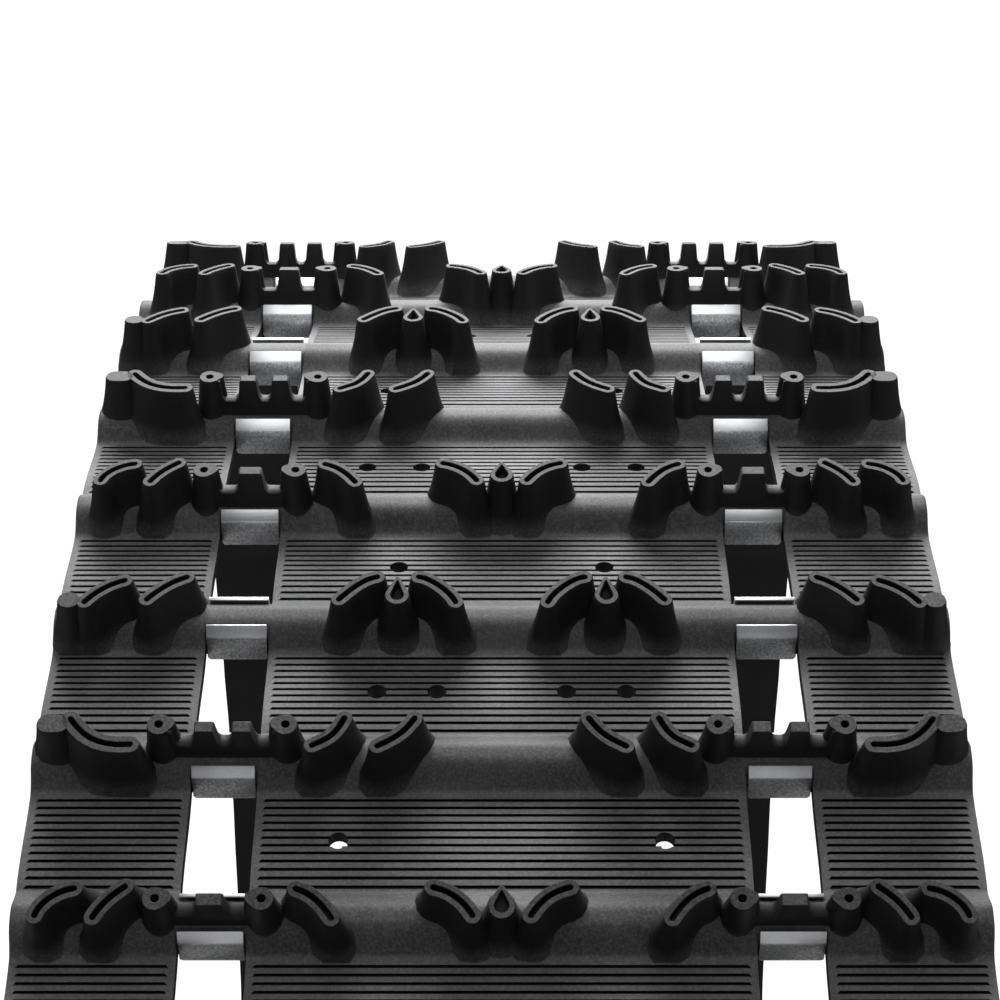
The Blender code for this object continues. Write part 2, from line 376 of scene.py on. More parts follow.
class TrackFinish(bpy.types.PropertyGroup):
    """Colours of the materials."""

    rubber: FloatVectorProperty(
        name="Rubber",
        description="Moulded rubber",
        default=(0.0045, 0.0045, 0.005),
        size=3,
        subtype="COLOR",
    )
    # Pale tone for dust and bloom, and for the light painted on the rubber's faces and flats.
    bloom_and_painted_light: FloatVectorProperty(
        name="Bloom",
        description="Pale bloom on the rubber",
        default=(0.24, 0.24, 0.245),
        size=3,
        subtype="COLOR",
    )
    steel: FloatVectorProperty(
        name="Steel", description="Clip steel", default=(0.7, 0.705, 0.72), size=3, subtype="COLOR"
    )
    rod: FloatVectorProperty(
        name="Rod", description="Glass fibre rod", default=(0.16, 0.15, 0.12), size=3, subtype="COLOR"
    )


class StageLook(bpy.types.PropertyGroup):
    """Floor and light."""

    floor: FloatVectorProperty(
        name="Floor", description="Floor and backdrop", default=(0.3, 0.3, 0.3), size=3, subtype="COLOR"
    )
    overhead: FloatProperty(name="Overhead", description="Overhead light", default=140.0, unit="POWER")
    lens: FloatProperty(name="Lens", description="Camera lens in millimetres", default=88.2)


def sizes():
    return bpy.context.scene.track_sizes


def finish():
    return bpy.context.scene.track_finish


def stage_look():
    return bpy.context.scene.track_stage


# Shapes in a link's own frame.


class Shell:
    """Points and faces of one mesh, gathered from closed shapes. A point's tone is 1 on a lug, else 0."""

    def __init__(self):
        self.points = []
        self.faces = []
        self.tones = []

    def loft(self, rings, tone=0.0):
        """A closed shape through rings of the same number of points."""
        base, count = len(self.points), len(rings[0])
        for ring in rings:
            self.points.extend(ring)
            self.tones.extend([tone] * count)
        for step in range(len(rings) - 1):
            low, high = base + step * count, base + (step + 1) * count
            for i in range(count):
                after = (i + 1) % count
                self.faces.append((low + i, low + after, high + after, high + i))
        self.faces.append(tuple(range(base, base + count))[::-1])
        last = base + (len(rings) - 1) * count
        self.faces.append(tuple(range(last, last + count)))

    def take(self, points, faces):
        """Adds a shape that is already points and faces."""
        base = len(self.points)
        self.points.extend(points)
        self.faces.extend(tuple(base + index for index in face) for face in faces)

    def mesh(self, name, scale=MM):
        """The mesh, with its faces pointing out."""
        data = bpy.data.meshes.new(name)
        data.from_pydata([tuple(value * scale for value in point) for point in self.points], [], self.faces)
        work = bmesh.new()
        work.from_mesh(data)
        bmesh.ops.recalc_face_normals(work, faces=work.faces)
        work.to_mesh(data)
        work.free()
        return data


def rounded(data, angle=38.0):
    data.shade_smooth()
    data.set_sharp_from_angle(angle=math.radians(angle))
    return data


def keep_attribute(data, name, values):
    """Keeps one number for each point: its height above the cord line in millimetres, or its tone."""
    kept = data.attributes.new(name, "FLOAT", "POINT")
    kept.data.foreach_set("value", np.asarray(values, np.float32))


def new_object(name, data):
    made = bpy.data.objects.new(name, data)
    bpy.context.scene.collection.objects.link(made)
    return made


def smooth_line(points, steps=9):
    """A smooth line of this many points through a few points."""
    given = np.array(points, float)
    share = np.linspace(0.0, 1.0, len(given))
    even = np.linspace(0.0, 1.0, steps)
    degree = min(3, len(given) - 1)
    return np.column_stack([np.polyval(np.polyfit(share, given[:, axis], degree), even) for axis in (0, 1)])


def ribbon(line, reach, corner=6):
    """A closed outline at this reach round a line, with round ends."""
    line = np.asarray(line, float)
    heading = np.gradient(line, axis=0)
    heading /= np.linalg.norm(heading, axis=1)[:, None]
    side = np.column_stack([-heading[:, 1], heading[:, 0]])
    outline = [tuple(point) for point in line + side * reach]
    for end, start in ((-1, 1), (0, -1)):
        first = math.atan2(*(side[end] * start)[::-1])
        for step in range(1, corner):
            angle = first - math.pi * step / corner
            outline.append((line[end][0] + reach * math.cos(angle), line[end][1] + reach * math.sin(angle)))
        if end == -1:
            outline += [tuple(point) for point in (line - side * reach)[::-1]]
    return outline


def hull(first, first_radius, last, last_radius, grow, corner=12):
    """A closed outline round two circles, each grown by the same amount."""
    a, b = Vector(first), Vector(last)
    big, small = first_radius + grow, last_radius + grow
    apart = (b - a).length
    heading = math.atan2(b.y - a.y, b.x - a.x)
    lean = math.acos(max(-1.0, min(1.0, (big - small) / apart)))
    outline = []
    for centre, radius, start, sweep in (
        (a, big, heading + lean, 2 * math.pi - 2 * lean),
        (b, small, heading - lean, 2 * lean),
    ):
        for step in range(corner + 1):
            angle = start + sweep * step / corner
            outline.append((centre.x + radius * math.cos(angle), centre.y + radius * math.sin(angle)))
    return outline


def inside_belt(x, belt):
    low, high = belt
    return min(max(x, low), high)


def tip_height():
    return sizes().lug_height / MM


def ring_of(outline, height, belt, free_above=1e9):
    """A ring at one height, kept within the bar's length, and within its belt below free_above."""
    half = sizes().half_bar / MM + BAR_MARGIN
    ring = []
    for x, y in outline:
        if height < free_above:
            x = inside_belt(x, belt)
        x = inside_belt(x, (-EDGE, EDGE))
        ring.append((x, max(-half, min(half, y)), height))
    return ring


def lug(shell, outline_at, tip, hole, belt):
    """A lug that widens to its root. outline_at gives its outline for a reach, and tip is the tip's reach.

    hole holds the outlines of its hole, each with its depth under the tip."""
    top = tip_height()
    rings = [ring_of(outline_at(tip + extra), height, belt) for height, extra in SKIRT]
    rings.append(ring_of(outline_at(tip), top, belt))
    rings += [ring_of(outline, top - depth, belt) for outline, depth in hole]
    shell.loft(rings, 1.0)


def slit_lug(shell, points, side, belt, tip=SLIT_TIP):
    """A lug that follows a line, with a slit in its tip."""
    line = smooth_line([(side * x, y) for x, y in points])
    hole = [(ribbon(line, reach), depth) for reach, depth in SLIT]
    lug(shell, lambda reach: ribbon(line, reach), tip, hole, belt)


def boss(shell, side, place, along, toward, belt):
    """A round boss with a hole, drawn out towards the window."""
    centre = (side * place, along)
    nose = (side * (place + toward * BOSS_NOSE_REACH), along + BOSS_NOSE_SHIFT)
    top = tip_height()
    rings = []
    for height, extra in (*SKIRT, (top, 0.0)):
        outline = hull(centre, BOSS_RADIUS, nose, BOSS_NOSE_RADIUS, extra * BOSS_SKIRT_SHARE)
        rings.append(ring_of(outline, height, belt, BOSS_FREE_HEIGHT))
    tip_ring = rings[-1]
    for radius, depth in BOSS_HOLE:
        rings.append([spun(centre, radius, top - depth, point) for point in tip_ring])
    shell.loft(rings, 1.0)


def spun(centre, radius, height, toward):
    """The point of a round hole that faces a point of the outline round it."""
    angle = math.atan2(toward[1] - centre[1], toward[0] - centre[0])
    return (centre[0] + radius * math.cos(angle), centre[1] + radius * math.sin(angle), height)


def teardrop(shell, across, low, high, half, hole, belt):
    """A lug with a teardrop tip: round at the front, pointed at the back, with a teardrop hole."""
    base = (across, low + half)
    apex = (across, high - TEARDROP_POINT)
    hole_base = (across, low + half + TEARDROP_HOLE_SHIFT)
    hole_apex = (across, high - TEARDROP_HOLE_TO_POINT)
    rings = []
    for grow, depth in TEARDROP_HOLE:
        rings.append((hull(hole_base, hole, hole_apex, TEARDROP_HOLE_POINT, grow), depth))
    lug(shell, lambda reach: hull(base, half, apex, TEARDROP_POINT, reach - half), half, rings, belt)


def tab(shell, side, low, high, inner, belt):
    """The flat end of an edge lug, which runs out to the edge of the track."""
    half = (high - low) / 2
    ends = (EDGE - TAB_FROM_EDGE - half, inner + half)
    line = smooth_line([(side * end, low + half) for end in ends], 5)
    lug(shell, lambda reach: ribbon(line, reach), half, (), belt)


def comb_half(height, top):
    """Half of a comb's thickness at a height: chamfered at the top and flared at the root."""
    if height >= top - 0.1:
        return COMB_TOP_HALF
    flare = max(0.0, COMB_FLARE_HEIGHT - height) * COMB_FLARE
    return COMB_HALF + COMB_DRAFT * (tip_height() - height) / tip_height() + flare


def comb_edge(teeth, start, end):
    """Top edge of a comb from boss to boss, as (across, height), with a U on each side of a tooth."""
    high, low = tip_height(), COMB_FLOOR
    shoulder = high - COMB_SHOULDER
    first_gap, last_gap = start + COMB_BOSS_REACH, end - COMB_BOSS_REACH
    edge = [(start, high), (first_gap, shoulder)]
    edge += [(first_gap + away, low + rise) for away, rise in BOSS_FOOT]
    for first, last in teeth:
        edge += [(first - away, low + rise) for away, rise in reversed(TOOTH_FOOT)]
        edge += [(first - 0.1, shoulder), (first + 0.6, high), (last - 0.6, high), (last + 0.1, shoulder)]
        edge += [(last + away, low + rise) for away, rise in TOOTH_FOOT]
    edge += [(last_gap - away, low + rise) for away, rise in reversed(BOSS_FOOT)]
    return edge + [(last_gap, shoulder), (end, high)]


def comb(shell, side, teeth, start, end, along):
    """A toothed wall over one window, from boss to boss. Each tooth is its start and end across."""
    rings = []
    for x, top in comb_edge(teeth, start, end):
        levels = [*COMB_LEVELS, top - 0.5, top]
        front = [(side * x, along - comb_half(level, top), level) for level in levels]
        back = [(side * x, along + comb_half(level, top), level) for level in reversed(levels)]
        rings.append(front + back)
    shell.loft(rings, 1.0)


def bar_profile():
    """Side view of a bar on a belt: a plain foot, hollow flanks and a domed crest, as (along, out)."""
    half, crest, belt = sizes().half_bar / MM, sizes().crest_height / MM, sizes().half_belt / MM
    steps = 14
    front, back = [], []
    for step in range(steps + 1):
        share = step / steps
        rise = belt + (crest - belt) * domed(share)
        front.append((-half + share * (half + CREST_HALF), rise))
        if step < steps:
            back.append((half - share * (half - CREST_HALF), rise))
    return front + back[::-1] + [(half, -belt), (-half, -belt)]


def domed(share):
    """Rises from 0 to 1, gently at first, and rounds over well before the end."""
    return 1.0 - (1.0 - share * share * (3 - 2 * share)) ** 1.7


def hump(shell, belt):
    """The part of a bar on one belt, with its ends rounded over."""
    profile = bar_profile()
    start, end = belt
    foot = sizes().half_belt / MM
    stations = [(start + inside, lower) for inside, lower in HUMP_ENDS]
    stations += [(end - inside, lower) for inside, lower in reversed(HUMP_ENDS)]
    rings = []
    for x, lower in stations:
        ring = []
        for along, out in profile:
            lift = max(0.0, out - foot)
            ring.append((x, along, out - lower * min(1.0, lift / HUMP_END_RISE)))
        rings.append(ring)
    shell.loft(rings)


def window_bar(shell, side):
    """The rubber over one window, held between the legs of the clip."""
    reach = (OUTER_BELT - CENTRE_BELT) / 2 + WINDOW_BAR_OVERLAP
    centre = side * WINDOW_MIDDLE
    shell.loft([[(x, along, out) for along, out in WINDOW_BAR] for x in (centre - reach, centre + reach)])


def drive_lug(shell, side):
    """A tooth inside the loop, next to a window, with hollow flanks."""
    centre = side * (CENTRE_BELT - DRIVE_LUG_FROM_WINDOW)
    rings = []
    for height, length, width in DRIVE_LUG:
        outline = []
        for step in range(32):
            angle = 2 * math.pi * step / 32
            x, y = math.cos(angle), math.sin(angle)
            swell = (abs(x) ** 5 + abs(y) ** 5) ** -0.2
            across = inside_belt(centre + width * x * swell, (-CENTRE_BELT, CENTRE_BELT))
            outline.append((across, length * y * swell, height))
        rings.append(outline)
    shell.loft(rings)


def bar_trio(shell, side):
    """Slanted lugs at the edge, a plain bar over the window and a winged teardrop on the centre belt."""
    outer, centre = side_belts(side)
    tab(shell, side, low=-10.0, high=-2.0, inner=176.5, belt=outer)
    for points in EDGE_SLANTS:
        slit_lug(shell, points, side, outer)
    for points in CENTRE_WINGS:
        slit_lug(shell, points, side, centre)
    teardrop(shell, side * 43.8, low=-8.2, high=6.3, half=4.8, hole=2.8, belt=centre)


def bar_arc(shell, side):
    """Paired lugs at the edge, a comb with one tooth over the window and arcs on the centre belt."""
    outer, centre = side_belts(side)
    tab(shell, side, low=-9.5, high=-1.0, inner=177.0, belt=outer)
    for points in EDGE_PAIR:
        slit_lug(shell, points, side, outer)
    boss(shell, side, place=131.9, along=1.4, toward=-1, belt=outer)
    boss(shell, side, place=91.4, along=1.4, toward=1, belt=centre)
    comb(shell, side, teeth=((106.3, 116.4),), start=94.8, end=128.5, along=1.0)
    for points in CENTRE_ARCS:
        slit_lug(shell, points, side, centre)


def bar_banana(shell, side):
    """One swept lug at the edge, a comb with two teeth over the window and hooks on the centre belt."""
    outer, centre = side_belts(side)
    tab(shell, side, low=0.0, high=8.0, inner=173.0, belt=outer)
    for points in EDGE_SWEEP:
        slit_lug(shell, points, side, outer, SWEEP_TIP)
    boss(shell, side, place=136.9, along=3.6, toward=-1, belt=outer)
    boss(shell, side, place=86.3, along=3.6, toward=1, belt=centre)
    comb(shell, side, teeth=((100.0, 107.6), (115.1, 122.7)), start=89.7, end=133.5, along=2.4)
    for points in CENTRE_HOOKS:
        slit_lug(shell, points, side, centre)


def side_belts(side):
    """The outer belt on this side, and the centre belt."""
    outer = BELTS[2] if side > 0 else BELTS[0]
    return outer, BELTS[1]


def bar_master(kind):
    """Everything that one bar shows, as one mesh in a link's own frame."""
    shell = Shell()
    for belt in BELTS:
        hump(shell, belt)
    lugs = {"trio": bar_trio, "arc": bar_arc, "banana": bar_banana}[kind]
    for side in (-1, 1):
        window_bar(shell, side)
        drive_lug(shell, side)
        lugs(shell, side)
    if kind == "arc":
        teardrop(shell, 0.0, low=-6.5, high=6.5, half=4.9, hole=2.9, belt=BELTS[1])
    data = shell.mesh(f"bar_{kind}")
    keep_height(data)
    keep_attribute(data, "tone", shell.tones)
    return new_object(f"bar_{kind}", rounded(data))


# Flats between the bars.


def flat_length(frames, zone):
    """Length of the flat before a link, between the feet of the two bars."""
    apart = (frames[zone].col[3] - frames[zone - 1].col[3]).length / MM
    return apart - 2 * sizes().half_bar / MM


def groove_lines(length):
    """Start and end of each groove along a flat. A plain strip is left at both feet."""
    first, last = GROOVES_FROM_FRONT, length - GROOVES_FROM_BACK
    pitch = (last - first) / (sizes().grooves - 1)
    half = sizes().groove_width / MM / 2
    return [(first + pitch * i - half, first + pitch * i + half) for i in range(sizes().grooves)]


def panel(shell, belt, length, start, end):
    """One belt's flat from start to end along it, with its grooves, as (across, along, out)."""
    top = sizes().half_belt / MM
    floor = top - sizes().groove_depth / MM
    border = sizes().groove_border / MM
    left, right = belt
    inner_left, inner_right = left + border, right - border
    low_limit, high_limit = start + GROOVE_MARGIN, end - GROOVE_MARGIN
    grooves = [line for line in groove_lines(length) if line[0] > low_limit and line[1] < high_limit]
    lines = [start] + [value for line in grooves for value in line] + [end]
    points, faces, index = [], [], {}

    def point(x, y, z):
        key = (round(x, 4), round(y, 4), round(z, 4))
        if key not in index:
            index[key] = len(points)
            points.append((x, y, z))
        return index[key]

    def quad(*corners):
        faces.append(tuple(point(*corner) for corner in corners))

    opening = {line[0] for line in grooves}
    for low, high in zip(lines, lines[1:]):
        sunk = low in opening
        ends = {}
        for value in (low, high):
            shift = GROOVE_SLANT if value in opening else 0.0
            ends[value] = (inner_left - shift, inner_right + shift)
        a0, b0 = ends[low]
        a1, b1 = ends[high]
        quad((left, low, top), (a0, low, top), (a1, high, top), (left, high, top))
        quad((b0, low, top), (right, low, top), (right, high, top), (b1, high, top))
        if sunk:
            quad((a0, low, floor), (b0, low, floor), (b1, high, floor), (a1, high, floor))
            quad((a0, low, top), (b0, low, top), (b0, low, floor), (a0, low, floor))
            quad((b1, high, top), (a1, high, top), (a1, high, floor), (b1, high, floor))
            quad((a1, high, top), (a0, low, top), (a0, low, floor), (a1, high, floor))
            quad((b0, low, top), (b1, high, top), (b1, high, floor), (b0, low, floor))
        else:
            quad((a0, low, top), (b0, low, top), (b1, high, top), (a1, high, top))
        quad((left, low, -top), (left, high, -top), (right, high, -top), (right, low, -top))
        quad((left, low, top), (left, high, top), (left, high, -top), (left, low, -top))
        quad((right, high, top), (right, low, top), (right, low, -top), (right, high, -top))
    for value, turn in ((start, 1), (end, -1)):
        rim = [(left, value, top), (inner_left, value, top), (inner_right, value, top), (right, value, top)]
        rim += [(right, value, -top), (left, value, -top)]
        faces.append(tuple(point(*corner) for corner in rim)[::turn])
    shell.take(points, faces)


def bored(data, length, places):
    """The flats with a stud hole at each place, on both sides."""
    radius, reach = sizes().stud_hole / MM, 2 * sizes().half_belt / MM
    tool = Shell()
    for place in places:
        for side in (-1, 1):
            ring = []
            for step in range(24):
                angle = 2 * math.pi * step / 24
                ring.append((side * place + radius * math.cos(angle), length / 2 + radius * math.sin(angle)))
            tool.loft([[(x, y, height) for x, y in ring] for height in (-reach, reach)])
    body = new_object("flat", data)
    drill = new_object("stud_drill", tool.mesh("stud_drill", 1.0))
    modifier = body.modifiers.new("studs", "BOOLEAN")
    modifier.operation = "DIFFERENCE"
    modifier.solver = "EXACT"
    modifier.object = drill
    bored_data = bpy.data.meshes.new_from_object(body.evaluated_get(bpy.context.evaluated_depsgraph_get()))
    for helper in (body, drill):
        bpy.data.objects.remove(helper, do_unlink=True)
    return bored_data


def flat_master(zone, length, start, end):
    """The three belts' flat before a link, straight, with the stud holes of its place in the loop."""
    shell = Shell()
    for belt in BELTS:
        panel(shell, belt, length, start, end)
    data = shell.mesh("flat", 1.0)
    middle = length / 2
    if start < middle - STUD_MARGIN and end > middle + STUD_MARGIN:
        data = bored(data, length, STUD_HOLES[zone % len(STUD_HOLES)])
    return data


def bent(frames, zone, data):
    """The flat's points, carried onto the smooth curve between two bars, in metres."""
    before, after = frames[zone - 1], frames[zone]
    foot = sizes().half_bar
    start = (before @ Vector((0.0, foot, 0.0)), before.col[1].to_3d())
    end = (after @ Vector((0.0, -foot, 0.0)), after.col[1].to_3d())
    length = flat_length(frames, zone)
    reach = (end[0] - start[0]).length
    carried = []
    for vertex in data.vertices:
        share = vertex.co.y / length
        square, cube = share * share, share**3
        place = (
            start[0] * (2 * cube - 3 * square + 1)
            + start[1] * reach * (cube - 2 * square + share)
            + end[0] * (3 * square - 2 * cube)
            + end[1] * reach * (cube - square)
        )
        heading = (
            (start[0] - end[0]) * (6 * square - 6 * share)
            + start[1] * reach * (3 * square - 4 * share + 1)
            + end[1] * reach * (3 * square - 2 * share)
        ).normalized()
        out = Vector((1.0, 0.0, 0.0)).cross(heading)
        carried.append(place + out * vertex.co.z * MM + Vector((vertex.co.x * MM, 0.0, 0.0)))
    return carried


def flat_mesh(name, frames, spans):
    """One mesh of the flats in these spans, each a (zone, start, end)."""
    work = bmesh.new()
    heights = []
    for zone, start, end in spans:
        data = flat_master(zone, flat_length(frames, zone), start, end)
        heights += [vertex.co.z for vertex in data.vertices]
        for vertex, place in zip(data.vertices, bent(frames, zone, data)):
            vertex.co = place
        work.from_mesh(data)
        bpy.data.meshes.remove(data)
    joined = bpy.data.meshes.new(name)
    work.to_mesh(joined)
    work.free()
    keep_attribute(joined, "outward", heights)
    keep_attribute(joined, "tone", np.zeros(len(heights)))
    return rounded(joined, 30.0)


# Clips and rods.


def clip_path():
    """Middle of a clip's sheet from the front lip round to the rear one, as (along, out, half width)."""
    half = sizes().clip_width / MM / 2
    return [(along, out, half - inset) for along, out, inset in CLIP_SHEET_LINE]


def keep_height(data):
    """Keeps each point's height above the cord line of a master in a link's own frame."""
    places = np.empty(len(data.vertices) * 3, np.float32)
    data.vertices.foreach_get("co", places)
    keep_attribute(data, "outward", places[2::3] / MM)


def clip_master():
    """One clip: a bent strip of sheet with cut corners, in a link's own frame, on its window's middle."""
    path = clip_path()
    half = sizes().clip_sheet / MM / 2
    line = np.array([(along, out) for along, out, _ in path])
    heading = np.gradient(line, axis=0)
    heading /= np.linalg.norm(heading, axis=1)[:, None]
    side = np.column_stack([-heading[:, 1], heading[:, 0]])
    shell = Shell()
    rings = []
    for (along, out, width), normal in zip(path, side):
        inner = (along + normal[0] * half, out + normal[1] * half)
        outer = (along - normal[0] * half, out - normal[1] * half)
        rings.append([(-width, *inner), (width, *inner), (width, *outer), (-width, *outer)])
    for centre in (-WINDOW_MIDDLE, WINDOW_MIDDLE):
        shell.loft([[(x + centre, along, out) for x, along, out in ring] for ring in rings])
    made = new_object("clip_pair", shell.mesh("clip_pair"))
    bevel = made.modifiers.new("edges", "BEVEL")
    bevel.width = CLIP_ROUNDING * MM
    bevel.segments = 2
    bevel.limit_method = "ANGLE"
    bevel.angle_limit = math.radians(40)
    data = bpy.data.meshes.new_from_object(made.evaluated_get(bpy.context.evaluated_depsgraph_get()))
    made.modifiers.clear()
    keep_height(data)
    made.data = rounded(data, 24.0)
    return made


def rod_master():
    """One glass fibre rod, flush with the ends of its bar."""
    shell = Shell()
    rise = sizes().rod_rise / MM
    stations = [(-EDGE - past, inset) for past, inset in ROD_ENDS]
    stations += [(EDGE + past, inset) for past, inset in reversed(ROD_ENDS)]
    rings = []
    for x, inset in stations:
        outline = []
        for step in range(24):
            angle = 2 * math.pi * step / 24
            swell = (abs(math.cos(angle)) ** 8 + abs(math.sin(angle)) ** 8) ** -0.125
            along = (ROD_HALF_LENGTH - inset) * math.cos(angle) * swell
            out = (ROD_HALF_HEIGHT - inset) * math.sin(angle) * swell
            outline.append((x, along, rise + out))
        rings.append(outline)
    shell.loft(rings)
    return new_object("rod", rounded(shell.mesh("rod")))


# Copies along the loop, by geometry nodes.


def copies_tree(name, count):
    """A node tree that puts one of several master shapes on each point, turned as the point says."""
    tree = bpy.data.node_groups.new(name, "GeometryNodeTree")
    tree.interface.new_socket("Points", in_out="INPUT", socket_type="NodeSocketGeometry")
    for number in range(count):
        tree.interface.new_socket(f"Master {number}", in_out="INPUT", socket_type="NodeSocketObject")
    tree.interface.new_socket("Finish", in_out="INPUT", socket_type="NodeSocketMaterial")
    tree.interface.new_socket("Mesh", in_out="OUTPUT", socket_type="NodeSocketGeometry")
    nodes, links = tree.nodes, tree.links
    given = nodes.new("NodeGroupInput")
    kind = nodes.new("GeometryNodeInputNamedAttribute")
    kind.data_type = "INT"
    kind.inputs["Name"].default_value = "kind"
    turn = nodes.new("GeometryNodeInputNamedAttribute")
    turn.data_type = "FLOAT_VECTOR"
    turn.inputs["Name"].default_value = "turn"
    rotation = nodes.new("FunctionNodeEulerToRotation")
    links.new(turn.outputs["Attribute"], rotation.inputs["Euler"])
    join = nodes.new("GeometryNodeJoinGeometry")
    for number in range(count):
        same = nodes.new("FunctionNodeCompare")
        same.data_type = "INT"
        same.operation = "EQUAL"
        links.new(kind.outputs["Attribute"], same.inputs["A"])
        same.inputs["B"].default_value = number
        master = nodes.new("GeometryNodeObjectInfo")
        links.new(given.outputs[f"Master {number}"], master.inputs["Object"])
        place = nodes.new("GeometryNodeInstanceOnPoints")
        links.new(given.outputs["Points"], place.inputs["Points"])
        links.new(same.outputs["Result"], place.inputs["Selection"])
        links.new(master.outputs["Geometry"], place.inputs["Instance"])
        links.new(rotation.outputs["Rotation"], place.inputs["Rotation"])
        links.new(place.outputs["Instances"], join.inputs["Geometry"])
    realize = nodes.new("GeometryNodeRealizeInstances")
    paint = nodes.new("GeometryNodeSetMaterial")
    result = nodes.new("NodeGroupOutput")
    links.new(join.outputs["Geometry"], realize.inputs["Geometry"])
    links.new(realize.outputs["Geometry"], paint.inputs["Geometry"])
    links.new(given.outputs["Finish"], paint.inputs["Material"])
    links.new(paint.outputs["Geometry"], result.inputs["Mesh"])
    return tree


def link_points(name, frames, links, kinds):
    """A mesh with one point per link, which holds its kind of bar and how it is turned."""
    data = bpy.data.meshes.new(name)
    data.from_pydata([tuple(frames[link].translation) for link in links], [], [])
    turn = data.attributes.new("turn", "FLOAT_VECTOR", "POINT")
    turn.data.foreach_set("vector", [value for link in links for value in frames[link].to_euler()])
    kind = data.attributes.new("kind", "INT", "POINT")
    kind.data.foreach_set("value", [kinds(link) for link in links])
    return new_object(name, data)


def copied(name, tree, masters, finish_material, frames, links, kinds):
    """A plain mesh of the masters, copied onto these links."""
    made = link_points(name, frames, links, kinds)
    modifier = made.modifiers.new("copies", "NODES")
    modifier.node_group = tree
    names = {item.name: item.identifier for item in tree.interface.items_tree if item.in_out == "INPUT"}
    for number, master in enumerate(masters):
        modifier[names[f"Master {number}"]] = master
    modifier[names["Finish"]] = finish_material
    graph = bpy.context.evaluated_depsgraph_get()
    data = bpy.data.meshes.new_from_object(made.evaluated_get(graph))
    if not data.polygons:
        raise RuntimeError(f"{name} came out empty")
    made.modifiers.clear()
    made.data = data
    data.name = name
    return made


def settle(piece, body, slot_name, *nodes):
    """Hangs a finished piece on its body, if it has one, and hides the nodes that it stands for. slot_name
    is not used.
    """
    if body:
        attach(piece, body)
    if nodes:
        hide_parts(*nodes)


# Materials.


class Wire:
    """A socket's value in a material. Arithmetic on it adds Math nodes."""

    def __init__(self, recipe, socket):
        self.recipe = recipe
        self.socket = socket

    def maths(self, operation, first, second):
        return self.recipe.add("ShaderNodeMath", {"operation": operation}, {0: first, 1: second})

    def __add__(self, other):
        return self.maths("ADD", self, other)

    def __radd__(self, other):
        return self.maths("ADD", other, self)

    def __sub__(self, other):
        return self.maths("SUBTRACT", self, other)

    def __rsub__(self, other):
        return self.maths("SUBTRACT", other, self)

    def __mul__(self, other):
        return self.maths("MULTIPLY", self, other)

    def __rmul__(self, other):
        return self.maths("MULTIPLY", other, self)


class Recipe:
    """The nodes of one material."""

    def __init__(self, name):
        self.material = bpy.data.materials.new(name)
        self.material.use_nodes = True
        self.tree = self.material.node_tree
        self.shader = self.tree.nodes["Principled BSDF"]

    def add(self, kind, settings=None, values=None, output=0):
        """One node, with its settings, and the values or wires of its sockets."""
        node = self.tree.nodes.new(kind)
        for name, value in (settings or {}).items():
            setattr(node, name, value)
        for name, value in (values or {}).items():
            self.put(node.inputs[name], value)
        return Wire(self, node.outputs[output])

    def put(self, socket, value):
        if isinstance(value, Wire):
            self.tree.links.new(value.socket, socket)
        else:
            socket.default_value = value

    def noise(self, coordinates, scale, detail=3.0, roughness=0.55):
        values = {"Vector": coordinates, "Scale": scale, "Detail": detail, "Roughness": roughness}
        return self.add("ShaderNodeTexNoise", None, values)

    def between(self, wire, low, high):
        """0 below low, 1 above high, smooth between."""
        values = {"Value": wire, "From Min": low, "From Max": high}
        return self.add("ShaderNodeMapRange", {"interpolation_type": "SMOOTHSTEP"}, values)

    def colours(self, share, first, second):
        """A mix of two colours."""
        node = self.tree.nodes.new("ShaderNodeMix")
        node.data_type = "RGBA"
        self.put(node.inputs[0], share)
        for socket, value in ((node.inputs[6], first), (node.inputs[7], second)):
            self.put(socket, value if isinstance(value, Wire) else (*value, 1.0))
        return Wire(self, node.outputs[2])

    def bump(self, height, strength, distance):
        values = {"Height": height, "Strength": strength, "Distance": distance}
        return self.add("ShaderNodeBump", None, values)

    def feed(self, **values):
        for name, value in values.items():
            self.put(self.shader.inputs[name.replace("_", " ")], value)


